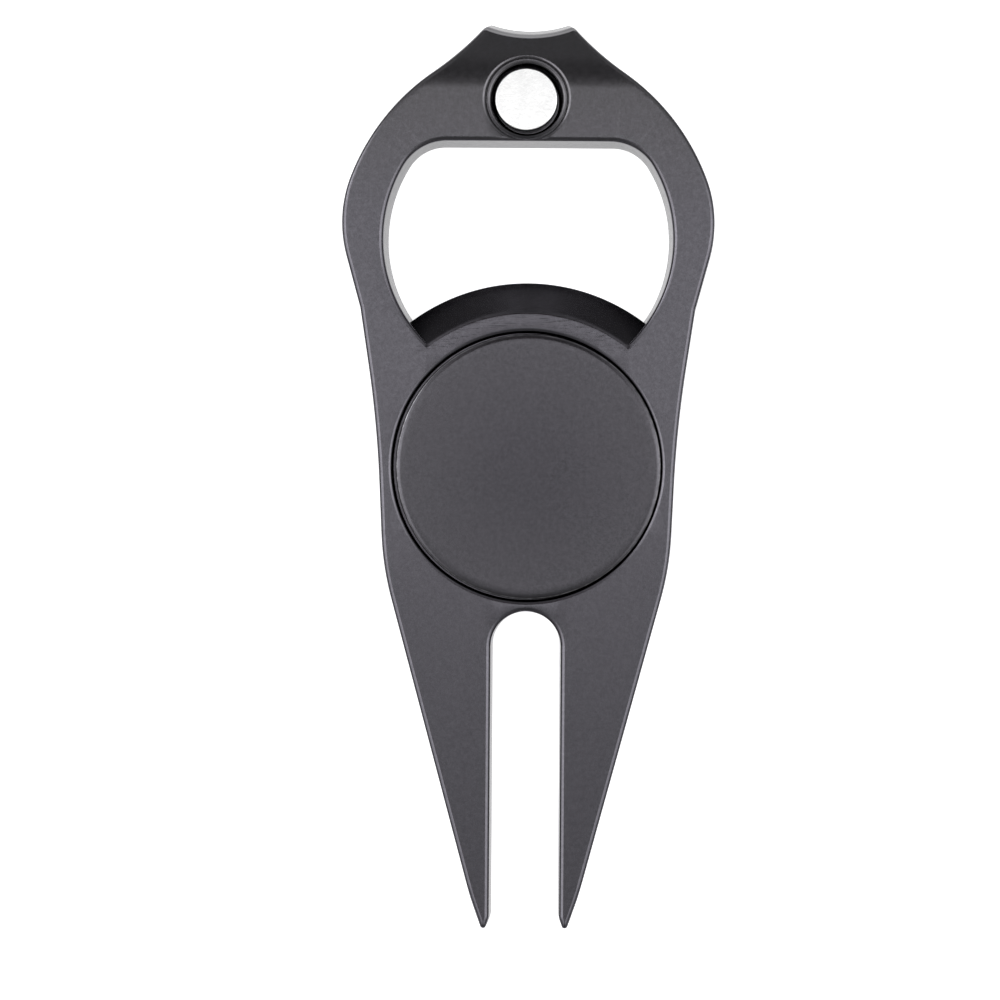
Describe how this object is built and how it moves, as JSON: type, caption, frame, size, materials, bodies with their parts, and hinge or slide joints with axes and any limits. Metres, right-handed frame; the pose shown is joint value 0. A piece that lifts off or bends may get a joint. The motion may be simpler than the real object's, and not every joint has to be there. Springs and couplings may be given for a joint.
{
  "type": "divot repair tool",
  "caption": "Flat two-tined golf divot repair tool with a bottle-opener head, a club-rest notch and a magnetic ball marker that lifts out of its round pocket.",
  "frame": {"origin": "on the ball marker's axis, at the back face that the tool lies on", "axes": "+X to the right seen from the front, +Y from the fork towards the club notch, +Z out of the front face"},
  "size_m": [0.0356, 0.0861, 0.005],
  "materials": {
    "body_plating": "satin gunmetal plating over a zinc casting, finely grained",
    "marker_plating": "satin gunmetal plating over a steel disc, a little darker than the body",
    "magnet_nickel": "bright satin nickel plating",
    "adhesive": "cured epoxy, pale amber"
  },
  "bodies": {
    "tool": {"tool_body": "body_plating", "marker_magnet": "magnet_nickel", "marker_magnet_adhesive": "adhesive", "cap_magnet": "magnet_nickel", "cap_magnet_adhesive": "adhesive"},
    "marker": {"ball_marker": "marker_plating"}
  },
  "joints": [
    {"name": "marker_lift", "type": "slide", "parent": "tool", "child": "marker", "axis": [0, 0, 1], "range_m": [0, 0.02]}
  ]
}
